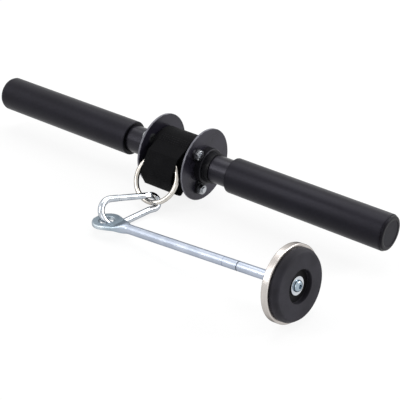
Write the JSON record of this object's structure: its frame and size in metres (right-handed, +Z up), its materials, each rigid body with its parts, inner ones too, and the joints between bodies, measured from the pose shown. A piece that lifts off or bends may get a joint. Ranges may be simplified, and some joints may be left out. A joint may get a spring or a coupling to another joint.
{
  "type": "wrist roller",
  "caption": "Wrist roller: bar with foam grips, strap spool between round flanges, ring, snap hook and a loading pin with a rubber-faced disc for weight plates.",
  "frame": {"origin": "middle of the underside of the box round the whole part, on the surface it lies on", "axes": "+X along the bar towards the right grip, +Y away from the side where the strap comes down, +Z up"},
  "size_m": [0.513, 0.2079, 0.079],
  "materials": {
    "tube_paint": "semi-gloss powder coat",
    "grip_foam": "matt foam rubber",
    "plug_plastic": "moulded",
    "flange_paint": "gloss powder coat",
    "hub_paint": "semi-gloss",
    "sleeve_plastic": "moulded",
    "webbing": "woven webbing",
    "nickel": "bright nickel plate",
    "zinc_bright": "bright zinc plate",
    "zinc_blue": "blue zinc plate",
    "disc_steel": "turned and nickel plated",
    "foot_rubber": "matt moulded rubber",
    "spring_steel": "plain"
  },
  "bodies": {
    "bar": {"handle_tube": "tube_paint", "left_grip": "grip_foam", "right_grip": "grip_foam", "left_plug": "plug_plastic", "right_plug": "plug_plastic", "left_flange": "flange_paint", "right_flange": "flange_paint", "left_hub": "hub_paint", "right_hub": "hub_paint", "left_sleeve": "sleeve_plastic", "right_sleeve": "sleeve_plastic", "hub_grub_screws": "spring_steel", "flange_bolts": "zinc_bright", "flange_washers": "zinc_bright", "flange_nuts": "zinc_bright", "strap_core": "webbing"},
    "strap": {"strap_end": "webbing"},
    "ring_body": {"ring": "nickel"},
    "hook": {"hook_body": "zinc_bright", "gate_rivet": "zinc_bright"},
    "gate": {"hook_gate": "zinc_bright", "gate_spring": "spring_steel"},
    "pin": {"loading_rod": "zinc_blue", "base_disc": "disc_steel", "rubber_foot": "foot_rubber", "foot_washer": "zinc_bright", "foot_screw": "zinc_blue"}
  },
  "joints": [
    {"name": "strap_wind", "type": "hinge", "parent": "bar", "child": "strap", "pos_m": [0, 0.06449, 0.0395], "axis": [1, 0, 0], "continuous": true},
    {"name": "ring_swing", "type": "hinge", "parent": "strap", "child": "ring_body", "pos_m": [0, 0.03442, 0.05183], "axis": [1, 0, 0], "range_deg": [-2, 16]},
    {"name": "hook_swing", "type": "hinge", "parent": "ring_body", "child": "hook", "pos_m": [0.00359, 0.00666, 0.01068], "axis": [0.9898, 0.0798, 0.1182], "range_deg": [-25, 100]},
    {"name": "gate_open", "type": "hinge", "parent": "hook", "child": "gate", "pos_m": [-0.00129, 0.00665, 0.01672], "axis": [0.7797, -0.1619, 0.6049], "range_deg": [0, 25], "stiffness_Nm_per_rad": 0.15, "springref_deg": -34.38},
    {"name": "pin_swing", "type": "hinge", "parent": "hook", "child": "pin", "pos_m": [-0.00646, -0.05169, 0.01018], "axis": [-0.1189, 0.0071, 0.9929], "range_deg": [-110, 5]}
  ]
}
